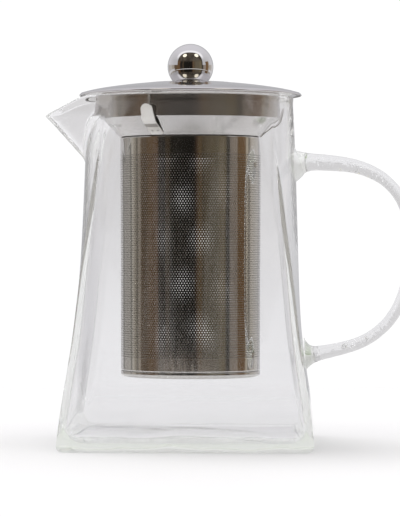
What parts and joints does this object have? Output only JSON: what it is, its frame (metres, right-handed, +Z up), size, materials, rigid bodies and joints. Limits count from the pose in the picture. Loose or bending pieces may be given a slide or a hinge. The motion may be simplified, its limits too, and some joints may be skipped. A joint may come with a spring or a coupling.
{
  "type": "teapot",
  "caption": "Square-footed clear glass teapot with a round mouth, pulled spout and rod handle, a lift-out perforated steel infuser and a shallow steel lid with a ball knob.",
  "frame": {"origin": "centre of the square underside that the teapot stands on", "axes": "+Z up through the mouth and the knob, +X towards the handle, -X towards the spout, -Y the side seen in front when the handle is on the right"},
  "size_m": [0.1521, 0.102, 0.1638],
  "materials": {
    "jug_glass": "clear borosilicate, fire polished, faint green edge",
    "collar_steel": "satin, fine vertical grain",
    "basket_steel": "polished sheet with a fine perforation",
    "clip_steel": "light satin spring steel",
    "lid_steel": "polished pressed sheet",
    "knob_steel": "mirror polished",
    "fixing_steel": "plain plated fixing"
  },
  "bodies": {
    "jug": {"glass_jug": "jug_glass", "handle": "jug_glass"},
    "infuser": {"infuser_collar": "collar_steel", "strainer_tube": "basket_steel", "strainer_base": "basket_steel"},
    "clip_front": {"spring_clip_front": "clip_steel"},
    "clip_right": {"spring_clip_right": "clip_steel"},
    "clip_back": {"spring_clip_back": "clip_steel"},
    "lid": {"lid_cover": "lid_steel", "lid_ring": "collar_steel", "knob": "knob_steel", "knob_screw": "fixing_steel", "knob_washer": "fixing_steel"}
  },
  "joints": [
    {"name": "infuser_lift", "type": "slide", "parent": "jug", "child": "infuser", "axis": [0, 0, 1], "range_m": [0, 0.13]},
    {"name": "lid_lift", "type": "slide", "parent": "infuser", "child": "lid", "axis": [0, 0, 1], "range_m": [0, 0.05]},
    {"name": "clip_front_flex", "type": "hinge", "parent": "infuser", "child": "clip_front", "pos_m": [-0.01251, -0.02836, 0.1271], "axis": [-0.915, 0.4035, 0], "range_deg": [-2, 7], "stiffness_Nm_per_rad": 0.6},
    {"name": "clip_right_flex", "type": "hinge", "parent": "infuser", "child": "clip_right", "pos_m": [0.03082, 0.00335, 0.1271], "axis": [0.108, -0.9942, 0], "range_deg": [-2, 7], "stiffness_Nm_per_rad": 0.6},
    {"name": "clip_back_flex", "type": "hinge", "parent": "infuser", "child": "clip_back", "pos_m": [-0.01831, 0.02502, 0.1271], "axis": [0.807, 0.5906, 0], "range_deg": [-2, 7], "stiffness_Nm_per_rad": 0.6}
  ]
}
